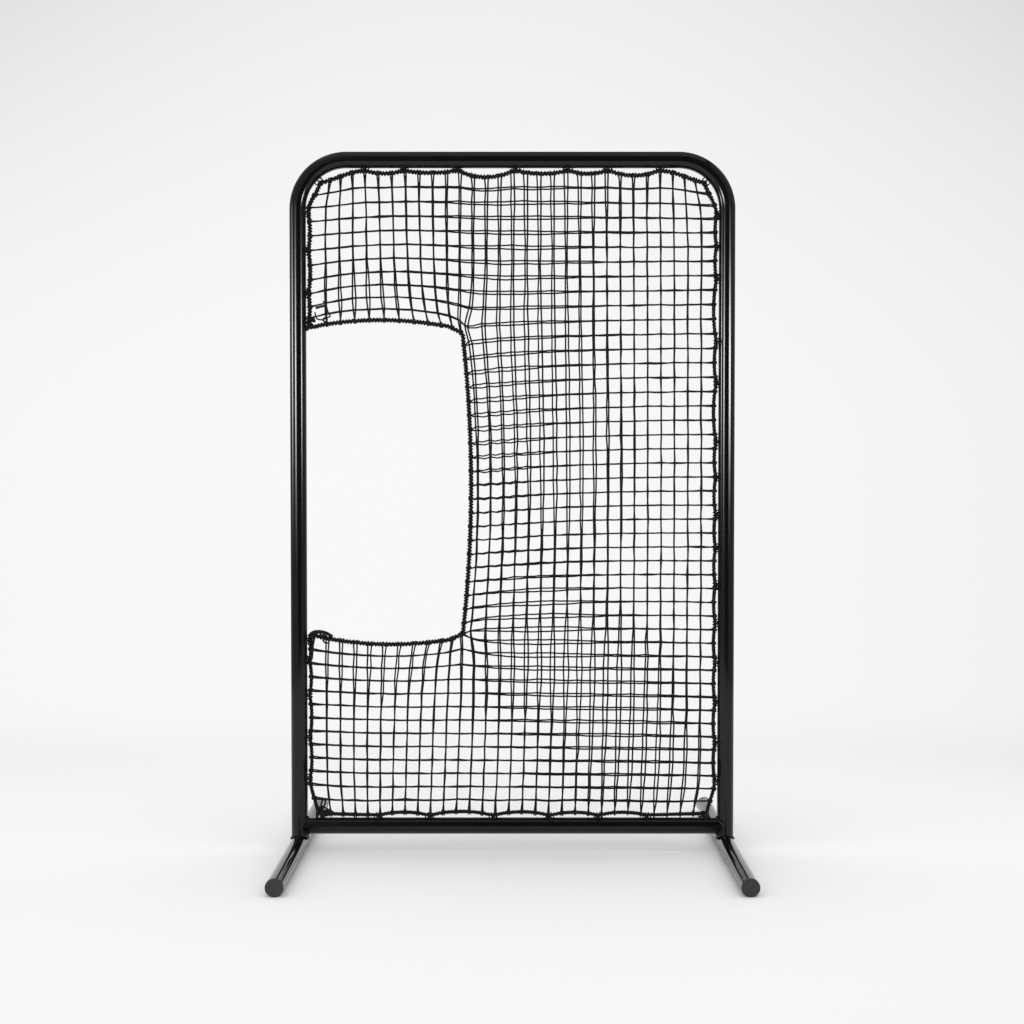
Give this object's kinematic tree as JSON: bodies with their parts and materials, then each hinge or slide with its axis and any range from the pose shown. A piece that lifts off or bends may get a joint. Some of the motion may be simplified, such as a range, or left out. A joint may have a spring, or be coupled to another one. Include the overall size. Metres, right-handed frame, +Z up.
{
  "type": "pitching screen",
  "caption": "Free-standing tubular steel screen with a C-shaped net opening, for a pitcher to throw through.",
  "frame": {"origin": "on the ground under the middle of the frame, halfway between the posts and halfway along the feet", "axes": "+Z up, +X to the right and -Y towards the viewer of the picture, who has the opening on the left; the net hangs in the plane y = 0"},
  "size_m": [1.3826, 1.168, 2.159],
  "materials": {
    "powder_coat": "gloss black powder coat",
    "cap_plastic": "matte charcoal polyethylene",
    "net_twine": "black twisted polyethylene twine",
    "rope_cord": "black laid polypropylene rope and lashing cord"
  },
  "bodies": {
    "root": {"frame_hoop": "powder_coat", "bottom_crossbar": "powder_coat", "left_foot": "powder_coat", "right_foot": "powder_coat", "left_foot_weld": "powder_coat", "right_foot_weld": "powder_coat", "left_crossbar_weld": "powder_coat", "right_crossbar_weld": "powder_coat", "front_left_cap": "cap_plastic", "rear_left_cap": "cap_plastic", "front_right_cap": "cap_plastic", "rear_right_cap": "cap_plastic", "front_net": "net_twine", "rear_net": "net_twine", "border_rope": "rope_cord", "tie_top_1": "rope_cord", "tie_top_2": "rope_cord", "tie_top_3": "rope_cord", "tie_top_4": "rope_cord", "tie_top_5": "rope_cord", "tie_top_6": "rope_cord", "tie_top_7": "rope_cord", "tie_right_1": "rope_cord", "tie_right_2": "rope_cord", "tie_right_3": "rope_cord", "tie_right_4": "rope_cord", "tie_right_5": "rope_cord", "tie_right_6": "rope_cord", "tie_right_7": "rope_cord", "tie_right_8": "rope_cord", "tie_right_9": "rope_cord", "tie_right_10": "rope_cord", "tie_right_11": "rope_cord", "tie_right_12": "rope_cord", "tie_right_13": "rope_cord", "tie_right_14": "rope_cord", "tie_right_15": "rope_cord", "tie_bottom_1": "rope_cord", "tie_bottom_2": "rope_cord", "tie_bottom_3": "rope_cord", "tie_bottom_4": "rope_cord", "tie_bottom_5": "rope_cord", "tie_bottom_6": "rope_cord", "tie_left_lower_1": "rope_cord", "tie_left_lower_2": "rope_cord", "tie_left_lower_3": "rope_cord", "tie_left_lower_4": "rope_cord", "tie_left_lower_5": "rope_cord", "tie_left_upper_1": "rope_cord", "tie_left_upper_2": "rope_cord", "tie_left_upper_3": "rope_cord", "tie_left_upper_4": "rope_cord", "tie_corner_left": "rope_cord", "tie_corner_right": "rope_cord"}
  },
  "joints": []
}
